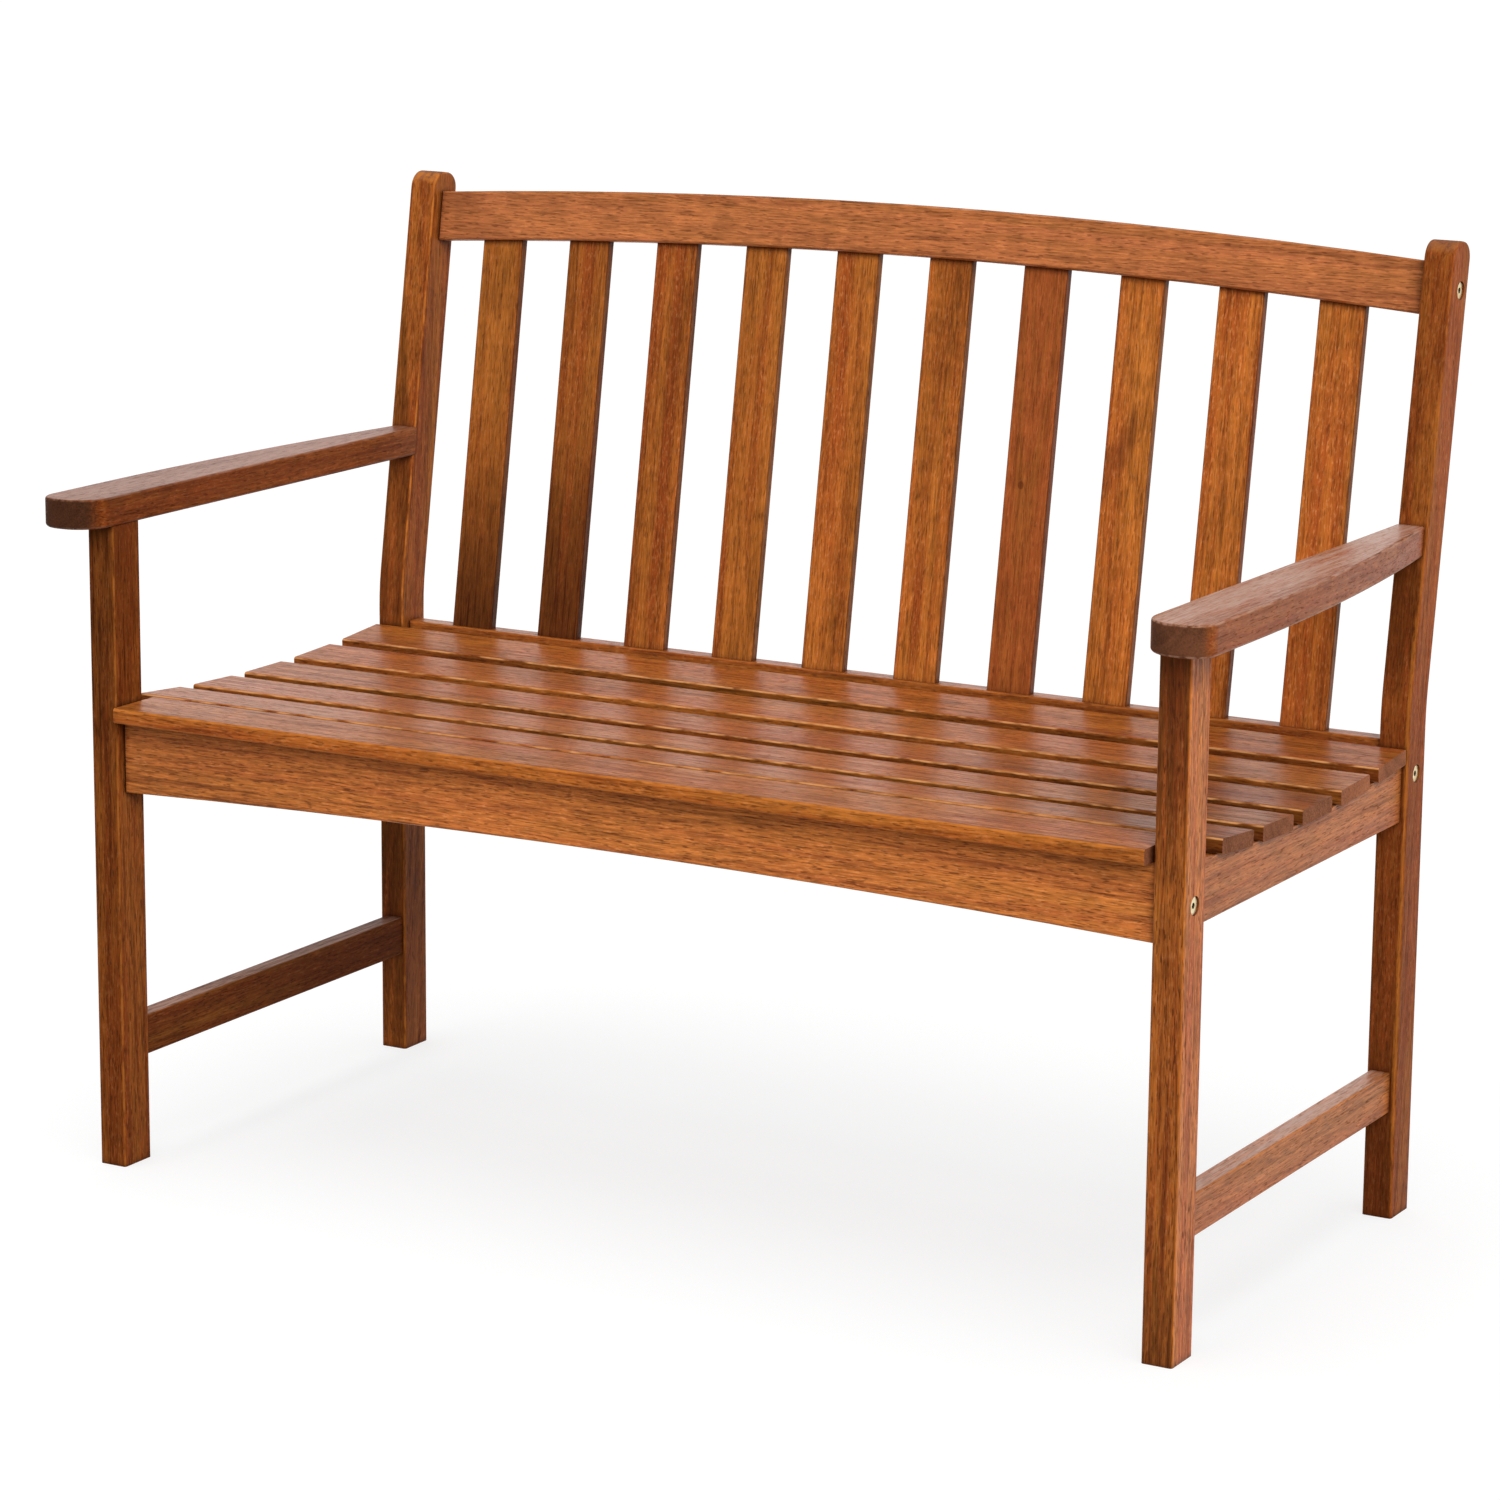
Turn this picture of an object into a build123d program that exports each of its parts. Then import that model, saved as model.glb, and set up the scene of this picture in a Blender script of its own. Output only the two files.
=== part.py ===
from build123d import *
import os
from math import asin, cos, radians, sin, sqrt, tan

# A two-seat wooden garden bench with arms, a scooped slatted seat and a raked slatted back.
# Millimetres. X runs along the bench, +Y points to its back, +Z up.
# The origin is on the ground under the middle of the whole bench.

# Legs and side frames
FRAME_LENGTH = 1100.0  # outer face to outer face of the legs
LEG_WIDTH = 28.5
LEG_DEPTH = 40.0
LEG_EASE = 2.5
SIDE_CLEAR = 428.0  # from the back of a front leg to the front of a rear leg
BENCH_HEIGHT = 880.0
POST_FRONT_ROUND = 17.0
POST_REAR_ROUND = 15.0
POST_BEND_RADIUS = 250.0
BACK_RAKE = 9.0  # degrees that the upper part of a rear leg leans back
BEND_ABOVE_SEAT = 33.0
ROUND_LIMIT = 0.45  # largest round at the top, as a share of the leg's depth

# Seat
SEAT_HEIGHT = 439.0  # top of the front slat
SEAT_SLAT_COUNT = 6
SEAT_SLAT_WIDTH = 63.0
SEAT_SLAT_THICK = 14.0
SEAT_SLAT_EASE = 2.5
FRONT_SLAT_OVERHANG = 10.0  # front slat in front of the front legs
FRONT_SLAT_END_GAP = 4.0  # front slat's end to the leg beside it
REAR_SLAT_GAP = 1.7  # rear slat to the rear legs
SLAT_END_INSET = 1.0  # slat's end behind the outer faces of the legs
SEAT_SCOOP = 12.2  # lowest point of the side rail's top below its front end
SCOOP_RUN = 222.0  # from the front end of the side rail back to the lowest point
SCOOP_STEP = 0.5  # rail's front end below the underside of the front slat
FLAT_MARGIN = 1.0  # bedding flat beyond each edge of its slat

# Rails of the side frames
SIDE_RAIL_THICK = 20.0
SIDE_RAIL_INSET = 6.0  # outer face behind the outer face of the legs
SIDE_RAIL_HEIGHT = 56.5  # at its front end
STRETCHER_HEIGHT = 38.0
STRETCHER_BOTTOM = 99.0
RAIL_EASE = 2.0
TENON_THICK = 10.0
TENON_LENGTH = 14.0
TENON_SHOULDER = 7.0

# Long rails
APRON_THICK = 20.0
APRON_SETBACK = 10.0  # behind the front face of the front legs
APRON_HEIGHT = 69.0
APRON_RISE = 10.5  # arch of the lower edge
LOWER_RAIL_THICK = 20.0
LOWER_RAIL_SETBACK = 11.0  # behind the front face of the rear legs
LOWER_RAIL_HEIGHT = 70.0
LOWER_RAIL_ABOVE_SEAT = 1.0
CREST_THICK = 22.0
CREST_SETBACK = 13.0
CREST_HEIGHT = 47.8
CREST_RISE = 18.4  # arch of both edges
CREST_DROP = 1.0  # crest's middle below the tops of the rear legs
RAIL_END_BEVEL = 2.0  # corners of the long rails' ends

# Back slats
BACK_SLAT_COUNT = 10
BACK_SLAT_WIDTH = 45.0
BACK_SLAT_THICK = 10.0
BACK_SLAT_SETBACK = 20.0  # behind the front face of the rear legs
BACK_SLAT_SHIFT = -4.5  # of the whole row along the bench, as photographed
BACK_SLAT_HOUSING = 12.0  # length of a slat's end inside each rail
BACK_SLAT_EASE = 1.5

# Arms
ARM_CLEAR = 166.0  # from the seat's front slat to the underside of an arm
ARM_THICK = 27.5
ARM_OVERHANG_FRONT = 38.0
ARM_OVERHANG_INNER = 2.0  # past the inner face of the front leg
ARM_OVERHANG_OUTER = 29.5  # past the outer face of the front leg
ARM_REAR_INSET = 3.0  # arm's outer edge inside the rear leg's outer face
ARM_INNER_ROUND = 32.0
ARM_OUTER_ROUND = 23.0
ARM_INNER_LIMIT = 0.56  # largest rounds, as shares of the arm's width
ARM_OUTER_LIMIT = 0.43
ARM_STRAIGHT = 70.0  # straight stretch of the outer edge behind its front corner
ARM_TOP_EASE = 2.5
ARM_BOTTOM_EASE = 3.5
ARM_TENON_LENGTH = 14.0  # into the rear leg
ARM_TENON_HEIGHT = 14.0
ARM_TENON_WIDTH = 12.0
LEG_TENON_LENGTH = 16.0  # front leg's tenon, up into the arm
LEG_TENON_WIDTH = 15.0
LEG_TENON_DEPTH = 26.0

# Bearer under the middle of the seat
BEARER_THICK = 20.0
BEARER_HEIGHT = 48.0  # under the front slat
BEARER_TENON_LENGTH = 7.0
BEARER_TENON_THICK = 10.0
BEARER_TENON_HEIGHT = 22.0

# Bolts, nuts and dowels
BOLT_DIAMETER = 6.0
BOLT_REACH = 45.0  # bolt's length inside the end of a rail
BOLT_HEAD_DIAMETER = 15.5
BOLT_HEAD_THICK = 2.5
BOLT_SOCKET_FLATS = 5.0
BOLT_SOCKET_DEPTH = 1.8
BOLT_RECESS = 1.5  # head's face below the face of the leg
NUT_DIAMETER = 10.0
NUT_LENGTH = 13.0
NUT_INSET = 35.0  # nut's middle from the rail's end
APRON_BOLT_DROP = 35.0  # bolts below the tops of their rails
LOWER_RAIL_BOLT_DROP = 30.0
DOWEL_DIAMETER = 8.0
DOWEL_LENGTH = 30.0
DOWEL_SPACING = 17.0  # dowel's axis from the bolt's axis
CREST_DOWEL_SPACING = 13.0
SEAT_DOWEL_DIAMETER = 6.0
SEAT_DOWEL_LENGTH = 20.0
SEAT_DOWEL_IN_SLAT = 8.5
APRON_DOWEL_SPACING = 400.0  # between the dowels along the front slat
BOLT_CLEARANCE = 0.5
PIN_CLEARANCE = 0.15

# Places along the bench
LEG_OUTER_X = FRAME_LENGTH / 2
LEG_INNER_X = LEG_OUTER_X - LEG_WIDTH
LEG_MIDDLE_X = LEG_OUTER_X - LEG_WIDTH / 2
SIDE_RAIL_OUTER_X = LEG_OUTER_X - SIDE_RAIL_INSET
SIDE_RAIL_MIDDLE_X = SIDE_RAIL_OUTER_X - SIDE_RAIL_THICK / 2

# Heights
SLAT_UNDERSIDE = SEAT_HEIGHT - SEAT_SLAT_THICK
RAIL_FRONT_TOP = SLAT_UNDERSIDE - SCOOP_STEP
SIDE_RAIL_BOTTOM = RAIL_FRONT_TOP - SIDE_RAIL_HEIGHT
BEARER_BOTTOM = SLAT_UNDERSIDE - BEARER_HEIGHT
LOWER_RAIL_TOP = SEAT_HEIGHT + LOWER_RAIL_ABOVE_SEAT
BEND_Z = SEAT_HEIGHT + BEND_ABOVE_SEAT
ARM_UNDERSIDE = SEAT_HEIGHT + ARM_CLEAR

# The raked part of a rear leg, measured along its own slope from the bend
RAKE = radians(BACK_RAKE)
TOP_ROUND_FRONT = min(POST_FRONT_ROUND, ROUND_LIMIT * LEG_DEPTH)
TOP_ROUND_REAR = min(POST_REAR_ROUND, ROUND_LIMIT * LEG_DEPTH)
TOP_ROUND_LOSS = TOP_ROUND_FRONT * (sin(RAKE) + cos(RAKE) - 1)
POST_RUN = (BENCH_HEIGHT - BEND_Z + TOP_ROUND_LOSS) / cos(RAKE)
POST_REACH_BACK = (POST_RUN - TOP_ROUND_REAR) * sin(RAKE) + (LEG_DEPTH - TOP_ROUND_REAR) * cos(RAKE)

# Places from front to back, with the whole bench centred on the origin
REAR_LEG_OFFSET = LEG_DEPTH + SIDE_CLEAR
BENCH_DEPTH = ARM_OVERHANG_FRONT + REAR_LEG_OFFSET + POST_REACH_BACK + TOP_ROUND_REAR
ARM_FRONT_Y = -BENCH_DEPTH / 2
FRONT_LEG_Y = ARM_FRONT_Y + ARM_OVERHANG_FRONT
FRONT_LEG_BACK_Y = FRONT_LEG_Y + LEG_DEPTH
FRONT_LEG_MIDDLE_Y = FRONT_LEG_Y + LEG_DEPTH / 2
REAR_LEG_Y = FRONT_LEG_Y + REAR_LEG_OFFSET
APRON_Y = FRONT_LEG_Y + APRON_SETBACK
APRON_BACK_Y = APRON_Y + APRON_THICK
APRON_MIDDLE_Y = APRON_Y + APRON_THICK / 2
LOWER_RAIL_Y = REAR_LEG_Y + LOWER_RAIL_SETBACK
LOWER_RAIL_MIDDLE_Y = LOWER_RAIL_Y + LOWER_RAIL_THICK / 2
SEAT_FRONT_Y = FRONT_LEG_Y - FRONT_SLAT_OVERHANG
SEAT_BACK_Y = REAR_LEG_Y - REAR_SLAT_GAP
SEAT_SLAT_PITCH = (SEAT_BACK_Y - SEAT_FRONT_Y - SEAT_SLAT_WIDTH) / (SEAT_SLAT_COUNT - 1)

# The plane of the raked front faces of the rear legs: its own Y runs up the slope
BACK_PLANE = Plane(
    origin=(0, REAR_LEG_Y, BEND_Z), x_dir=(1, 0, 0), z_dir=(0, -cos(RAKE), sin(RAKE))
)
BACK_SLOPE = Axis((0, 0, 0), (0, sin(RAKE), cos(RAKE)))
SLOPE_PER_HEIGHT = 1 / cos(RAKE)
CREST_TOP_MIDDLE = POST_RUN - CREST_DROP
CREST_TOP_END = CREST_TOP_MIDDLE - CREST_RISE
CREST_BOTTOM_MIDDLE = CREST_TOP_MIDDLE - CREST_HEIGHT
CREST_BOTTOM_END = CREST_TOP_END - CREST_HEIGHT
CREST_ARCH_RADIUS = (LEG_INNER_X**2 + CREST_RISE**2) / (2 * CREST_RISE)
CREST_MIDDLE_DEPTH = CREST_SETBACK + CREST_THICK / 2
CREST_BOLT_SLOPE = (CREST_TOP_END + CREST_BOTTOM_END) / 2
BACK_SLAT_GAP = (2 * LEG_INNER_X - BACK_SLAT_COUNT * BACK_SLAT_WIDTH) / (BACK_SLAT_COUNT + 1)
BACK_SLAT_PITCH = BACK_SLAT_WIDTH + BACK_SLAT_GAP
BACK_SLAT_MIDDLE_DEPTH = BACK_SLAT_SETBACK + BACK_SLAT_THICK / 2
BACK_SLAT_FOOT = (LOWER_RAIL_TOP - BEND_Z) * SLOPE_PER_HEIGHT
BACK_SLAT_FOOT += BACK_SLAT_MIDDLE_DEPTH * tan(RAKE) - BACK_SLAT_HOUSING

# The scooped line that the side rails and the bearer share
SCOOP_RADIUS = (SCOOP_RUN**2 + SEAT_SCOOP**2) / (2 * SEAT_SCOOP)
SCOOP_LOW_Y = FRONT_LEG_BACK_Y + SCOOP_RUN
SCOOP_LOW_Z = RAIL_FRONT_TOP - SEAT_SCOOP


def scoop_height(y):
    """Height of the scooped line at a place from front to back."""
    return SCOOP_LOW_Z + SCOOP_RADIUS - sqrt(SCOOP_RADIUS**2 - (y - SCOOP_LOW_Y) ** 2)


def slat_middle_y(number):
    """Middle of a seat slat from front to back, counted from the front slat, 0."""
    return SEAT_FRONT_Y + SEAT_SLAT_WIDTH / 2 + number * SEAT_SLAT_PITCH


def slat_tilt(number):
    """Angle, in radians, of the bedding flat under a seat slat behind the front one."""
    half = SEAT_SLAT_WIDTH / 2 + FLAT_MARGIN
    rise = scoop_height(slat_middle_y(number) + half) - scoop_height(slat_middle_y(number) - half)
    return asin(rise / (2 * half))


def flat_point(number, across):
    """Point (Y, Z) of a slat's bedding flat, at a distance across from its middle."""
    half = SEAT_SLAT_WIDTH / 2 + FLAT_MARGIN
    middle = slat_middle_y(number)
    middle_z = (scoop_height(middle - half) + scoop_height(middle + half)) / 2
    tilt = slat_tilt(number)
    return (middle + across * cos(tilt), middle_z + across * sin(tilt))


def slat_plane(number):
    """Plane of a seat slat's underside, with its own Y pointing to the back."""
    if number == 0:
        return Plane(origin=(0, slat_middle_y(0), SLAT_UNDERSIDE))
    tilt = slat_tilt(number)
    y, z = flat_point(number, 0)
    return Plane(origin=(0, y, z), x_dir=(1, 0, 0), z_dir=(0, -sin(tilt), cos(tilt)))


def scooped_top(back_y):
    """Points of the scooped edge from the front, with a flat under each slat, to a rear end."""
    half = SEAT_SLAT_WIDTH / 2 + FLAT_MARGIN
    points = []
    for number in range(1, SEAT_SLAT_COUNT):
        points.append(flat_point(number, -half))
        points.append(flat_point(number, half))
    inside = [point for point in points if point[0] < back_y]
    return inside + [(back_y, scoop_height(back_y))]


def back_point(x, slope, depth):
    """Point on the raked back, at a height up the slope and a depth behind the leg's front."""
    return BACK_PLANE.from_local_coords(Vector(x, slope, -depth))


def end_plane(x, y, z, facing):
    """Plane across the bench at a point, facing its right-hand end (1) or its left-hand end (-1)."""
    return Plane(origin=(x, y, z), x_dir=(0, 1, 0), z_dir=(facing, 0, 0))


# Axes of the bolts and dowels at the right-hand ends of the three long rails, on the leg's inner face
APRON_BOLT = Vector(LEG_INNER_X, APRON_MIDDLE_Y, SLAT_UNDERSIDE - APRON_BOLT_DROP)
LOWER_RAIL_BOLT = Vector(LEG_INNER_X, LOWER_RAIL_MIDDLE_Y, LOWER_RAIL_TOP - LOWER_RAIL_BOLT_DROP)
CREST_BOLT = back_point(LEG_INNER_X, CREST_BOLT_SLOPE, CREST_MIDDLE_DEPTH)
APRON_DOWEL = APRON_BOLT - Vector(0, 0, DOWEL_SPACING)
LOWER_RAIL_DOWEL = LOWER_RAIL_BOLT - Vector(0, 0, DOWEL_SPACING)
CREST_DOWEL = back_point(LEG_INNER_X, CREST_BOLT_SLOPE + CREST_DOWEL_SPACING, CREST_MIDDLE_DEPTH)
BOLTS = (APRON_BOLT, LOWER_RAIL_BOLT, CREST_BOLT)
DOWELS = (APRON_DOWEL, LOWER_RAIL_DOWEL, CREST_DOWEL)

# Directions in which the nuts go into the backs of their rails
LEVEL_BACK = Vector(0, 1, 0)
RAKED_BACK = Vector(0, cos(RAKE), -sin(RAKE))
NUT_DIRECTIONS = (LEVEL_BACK, LEVEL_BACK, RAKED_BACK)

DOWEL_HOLE_DEPTH = DOWEL_LENGTH / 2 + PIN_CLEARANCE
COUNTERBORE_DEPTH = BOLT_HEAD_THICK + BOLT_RECESS


def bore_leg(bolt, dowel):
    """Counterbored bolt hole through a right-hand leg and the blind dowel hole beside it."""
    with Locations(end_plane(LEG_OUTER_X, bolt.Y, bolt.Z, 1)):
        CounterBoreHole(
            radius=BOLT_DIAMETER / 2 + BOLT_CLEARANCE,
            counter_bore_radius=BOLT_HEAD_DIAMETER / 2 + BOLT_CLEARANCE,
            counter_bore_depth=COUNTERBORE_DEPTH,
            depth=LEG_WIDTH,
        )
    with Locations(end_plane(LEG_INNER_X, dowel.Y, dowel.Z, -1)):
        Hole(radius=DOWEL_DIAMETER / 2 + PIN_CLEARANCE, depth=DOWEL_HOLE_DEPTH)


def bore_rail(bolt, dowel, nut_direction, rail_thick):
    """Bolt and dowel holes in both ends of a long rail, and the nut holes from its back."""
    for side in (1, -1):
        with Locations(end_plane(side * LEG_INNER_X, bolt.Y, bolt.Z, side)):
            Hole(radius=BOLT_DIAMETER / 2 + BOLT_CLEARANCE, depth=BOLT_REACH + BOLT_CLEARANCE)
        with Locations(end_plane(side * LEG_INNER_X, dowel.Y, dowel.Z, side)):
            Hole(radius=DOWEL_DIAMETER / 2 + PIN_CLEARANCE, depth=DOWEL_HOLE_DEPTH)
        nut_middle = Vector(side * (LEG_INNER_X - NUT_INSET), bolt.Y, bolt.Z)
        mouth = nut_middle + nut_direction * (rail_thick / 2)
        with Locations(Plane(origin=mouth, x_dir=(1, 0, 0), z_dir=nut_direction)):
            Hole(radius=NUT_DIAMETER / 2 + PIN_CLEARANCE, depth=rail_thick / 2 + NUT_LENGTH / 2)


def ease_rail(rail, across):
    """Bevel the corners of a long rail's ends and round its long edges, on its front and back."""
    end_edges = rail.faces().filter_by(across).edges().sort_by(SortBy.LENGTH)[:4]
    chamfer(end_edges, RAIL_END_BEVEL)
    long_edges = rail.faces().filter_by(across).edges().sort_by(SortBy.LENGTH)[-4:]
    fillet(long_edges, RAIL_EASE)


def save(piece, name):
    """Name a finished piece and write it to its own file."""
    piece.part.label = name
    export_step(piece.part, f"parts/{name}.step")


def save_both_sides(piece, name):
    """Write a right-hand piece and its mirrored left-hand twin."""
    save(piece, f"{name}_right")
    with BuildPart() as twin:
        mirror(piece.part, about=Plane.YZ)
    save(twin, f"{name}_left")


os.makedirs("parts", exist_ok=True)

# Tenons of the two rails in each side frame: middle height and height
SEAT_RAIL_TENON_HEIGHT = SCOOP_LOW_Z - SIDE_RAIL_BOTTOM - 2 * TENON_SHOULDER
SEAT_RAIL_TENON_Z = SIDE_RAIL_BOTTOM + TENON_SHOULDER + SEAT_RAIL_TENON_HEIGHT / 2
STRETCHER_TENON_HEIGHT = STRETCHER_HEIGHT - 2 * TENON_SHOULDER
STRETCHER_Z = STRETCHER_BOTTOM + STRETCHER_HEIGHT / 2
SEAT_RAIL_TENON = (SEAT_RAIL_TENON_Z, SEAT_RAIL_TENON_HEIGHT)
STRETCHER_TENON = (STRETCHER_Z, STRETCHER_TENON_HEIGHT)

# Front leg, with a tenon for the arm and mortises for the side rails
with BuildPart() as front_leg:
    with BuildSketch():
        with Locations((LEG_MIDDLE_X, FRONT_LEG_MIDDLE_Y)):
            RectangleRounded(LEG_WIDTH, LEG_DEPTH, LEG_EASE)
    extrude(amount=ARM_UNDERSIDE)
    with BuildSketch(Plane.XY.offset(ARM_UNDERSIDE)):
        with Locations((LEG_MIDDLE_X, FRONT_LEG_MIDDLE_Y)):
            Rectangle(LEG_TENON_WIDTH, LEG_TENON_DEPTH)
    extrude(amount=LEG_TENON_LENGTH)
    for tenon_z, tenon_height in (SEAT_RAIL_TENON, STRETCHER_TENON):
        with BuildSketch(Plane.XZ.offset(-FRONT_LEG_BACK_Y)):
            with Locations((SIDE_RAIL_MIDDLE_X, tenon_z)):
                Rectangle(TENON_THICK, tenon_height)
        extrude(amount=TENON_LENGTH, mode=Mode.SUBTRACT)
    bore_leg(APRON_BOLT, APRON_DOWEL)
save_both_sides(front_leg, "front_leg")

# Rear leg, cut in one piece with its raked upper part
ARM_MIDDLE_Z = ARM_UNDERSIDE + ARM_THICK / 2
POST_FACE_AT_ARM_Y = REAR_LEG_Y + (ARM_MIDDLE_Z - BEND_Z) * tan(RAKE)
ARM_TENON_END_Y = POST_FACE_AT_ARM_Y + ARM_TENON_LENGTH
ARM_TENON_ROOT_Y = POST_FACE_AT_ARM_Y - ARM_TENON_LENGTH
LEG_BACK_Y = REAR_LEG_Y + LEG_DEPTH
REAR_BEND_Z = BEND_Z - LEG_DEPTH * tan(RAKE / 2)
TOP_FRONT = back_point(0, POST_RUN, 0)
TOP_BACK = back_point(0, POST_RUN, LEG_DEPTH)

with BuildPart() as rear_leg:
    with BuildSketch(Plane.YZ.offset(LEG_INNER_X)):
        with BuildLine():
            FilletPolyline(
                (REAR_LEG_Y, 0),
                (LEG_BACK_Y, 0),
                (LEG_BACK_Y, REAR_BEND_Z),
                (TOP_BACK.Y, TOP_BACK.Z),
                (TOP_FRONT.Y, TOP_FRONT.Z),
                (REAR_LEG_Y, BEND_Z),
                radius=(0, 0, POST_BEND_RADIUS, TOP_ROUND_REAR, TOP_ROUND_FRONT, POST_BEND_RADIUS),
                close=True,
            )
        make_face()
    extrude(amount=LEG_WIDTH)
    sides = rear_leg.faces().filter_by(Axis.X)
    eased = sides.edges().filter_by_position(Axis.Z, LEG_EASE, BENCH_HEIGHT + LEG_EASE)
    fillet(eased, LEG_EASE)
    for tenon_z, tenon_height in (SEAT_RAIL_TENON, STRETCHER_TENON):
        with BuildSketch(Plane.XZ.offset(-REAR_LEG_Y)):
            with Locations((SIDE_RAIL_MIDDLE_X, tenon_z)):
                Rectangle(TENON_THICK, tenon_height)
        extrude(amount=-TENON_LENGTH, mode=Mode.SUBTRACT)
    with BuildSketch(Plane.XZ.offset(-ARM_TENON_END_Y)):
        with Locations((LEG_MIDDLE_X, ARM_MIDDLE_Z)):
            Rectangle(ARM_TENON_WIDTH, ARM_TENON_HEIGHT)
    extrude(amount=ARM_TENON_END_Y - ARM_TENON_ROOT_Y, mode=Mode.SUBTRACT)
    bore_leg(LOWER_RAIL_BOLT, LOWER_RAIL_DOWEL)
    bore_leg(CREST_BOLT, CREST_DOWEL)
save_both_sides(rear_leg, "rear_leg")

# Arm, with a rounded front end and an outer edge that curves in to the rear leg
ARM_INNER_X = LEG_INNER_X - ARM_OVERHANG_INNER
ARM_OUTER_X = LEG_OUTER_X + ARM_OVERHANG_OUTER
ARM_REAR_X = LEG_OUTER_X - ARM_REAR_INSET
ARM_WIDTH = ARM_OUTER_X - ARM_INNER_X
ARM_FRONT_INNER_ROUND = min(ARM_INNER_ROUND, ARM_INNER_LIMIT * ARM_WIDTH)
ARM_FRONT_OUTER_ROUND = min(ARM_OUTER_ROUND, ARM_OUTER_LIMIT * ARM_WIDTH)
ARM_CURVE_Y = ARM_FRONT_Y + ARM_FRONT_OUTER_ROUND + ARM_STRAIGHT
ARM_BLANK_Y = POST_FACE_AT_ARM_Y + LEG_DEPTH

with BuildPart() as armrest:
    with BuildSketch(Plane.XY.offset(ARM_UNDERSIDE)):
        with BuildLine():
            FilletPolyline(
                (ARM_INNER_X, ARM_BLANK_Y),
                (ARM_INNER_X, ARM_FRONT_Y),
                (ARM_OUTER_X, ARM_FRONT_Y),
                (ARM_OUTER_X, ARM_CURVE_Y),
                radius=(ARM_FRONT_INNER_ROUND, ARM_FRONT_OUTER_ROUND),
            )
            TangentArc((ARM_OUTER_X, ARM_CURVE_Y), (ARM_REAR_X, POST_FACE_AT_ARM_Y), tangent=(0, 1))
            Polyline((ARM_REAR_X, POST_FACE_AT_ARM_Y), (ARM_REAR_X, ARM_BLANK_Y), (ARM_INNER_X, ARM_BLANK_Y))
        make_face()
    extrude(amount=ARM_THICK)
    fillet(armrest.faces().sort_by(Axis.Z)[-1].edges(), ARM_TOP_EASE)
    fillet(armrest.faces().sort_by(Axis.Z)[0].edges(), ARM_BOTTOM_EASE)
    split(bisect_by=BACK_PLANE, keep=Keep.TOP)
    with BuildSketch(Plane.XZ.offset(-ARM_TENON_END_Y)):
        with Locations((LEG_MIDDLE_X, ARM_MIDDLE_Z)):
            Rectangle(ARM_TENON_WIDTH, ARM_TENON_HEIGHT)
    extrude(amount=ARM_TENON_END_Y - ARM_TENON_ROOT_Y)
    with BuildSketch(Plane.XY.offset(ARM_UNDERSIDE)):
        with Locations((LEG_MIDDLE_X, FRONT_LEG_MIDDLE_Y)):
            Rectangle(LEG_TENON_WIDTH, LEG_TENON_DEPTH)
    extrude(amount=LEG_TENON_LENGTH, mode=Mode.SUBTRACT)
save_both_sides(armrest, "armrest")


def seat_dowel_spots(number):
    """Places of a seat slat's dowels, along the bench and across the slat from its middle."""
    if number == 0:
        across = APRON_MIDDLE_Y - slat_middle_y(0)
        return [(x, across) for x in (-APRON_DOWEL_SPACING, 0, APRON_DOWEL_SPACING)]
    return [(x, 0) for x in (-SIDE_RAIL_MIDDLE_X, 0, SIDE_RAIL_MIDDLE_X)]


def bore_for_seat_dowels(number, spots):
    """Dowel holes down from the underside of a seat slat, into what carries it."""
    with Locations(slat_plane(number)):
        with Locations(*spots):
            Hole(
                radius=SEAT_DOWEL_DIAMETER / 2 + PIN_CLEARANCE,
                depth=SEAT_DOWEL_LENGTH - SEAT_DOWEL_IN_SLAT + PIN_CLEARANCE,
            )


# Side seat rail, with a tenon at each end and a flat under each slat along its scooped top
with BuildPart() as side_seat_rail:
    with BuildSketch(Plane.YZ.offset(SIDE_RAIL_OUTER_X)):
        with BuildLine():
            Polyline(
                (REAR_LEG_Y, SIDE_RAIL_BOTTOM),
                (FRONT_LEG_BACK_Y, SIDE_RAIL_BOTTOM),
                (FRONT_LEG_BACK_Y, RAIL_FRONT_TOP),
                *scooped_top(REAR_LEG_Y),
                close=True,
            )
        make_face()
    extrude(amount=-SIDE_RAIL_THICK)
    bottom_edges = side_seat_rail.faces().sort_by(Axis.Z)[0].edges().filter_by(Axis.Y)
    fillet(bottom_edges, RAIL_EASE)
    with BuildSketch(Plane.XZ.offset(-FRONT_LEG_BACK_Y + TENON_LENGTH)):
        with Locations((SIDE_RAIL_MIDDLE_X, SEAT_RAIL_TENON_Z)):
            Rectangle(TENON_THICK, SEAT_RAIL_TENON_HEIGHT)
    extrude(amount=-(SIDE_CLEAR + 2 * TENON_LENGTH))
    for number in range(1, SEAT_SLAT_COUNT):
        bore_for_seat_dowels(number, [(SIDE_RAIL_MIDDLE_X, 0)])
save_both_sides(side_seat_rail, "side_seat_rail")

# Side stretcher near the ground
with BuildPart() as side_stretcher:
    with BuildSketch(Plane.XZ.offset(-FRONT_LEG_BACK_Y)):
        with Locations((SIDE_RAIL_MIDDLE_X, STRETCHER_Z)):
            RectangleRounded(SIDE_RAIL_THICK, STRETCHER_HEIGHT, RAIL_EASE)
    extrude(amount=-SIDE_CLEAR)
    with BuildSketch(Plane.XZ.offset(-FRONT_LEG_BACK_Y + TENON_LENGTH)):
        with Locations((SIDE_RAIL_MIDDLE_X, STRETCHER_Z)):
            Rectangle(TENON_THICK, STRETCHER_TENON_HEIGHT)
    extrude(amount=-(SIDE_CLEAR + 2 * TENON_LENGTH))
save_both_sides(side_stretcher, "side_stretcher")

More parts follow.
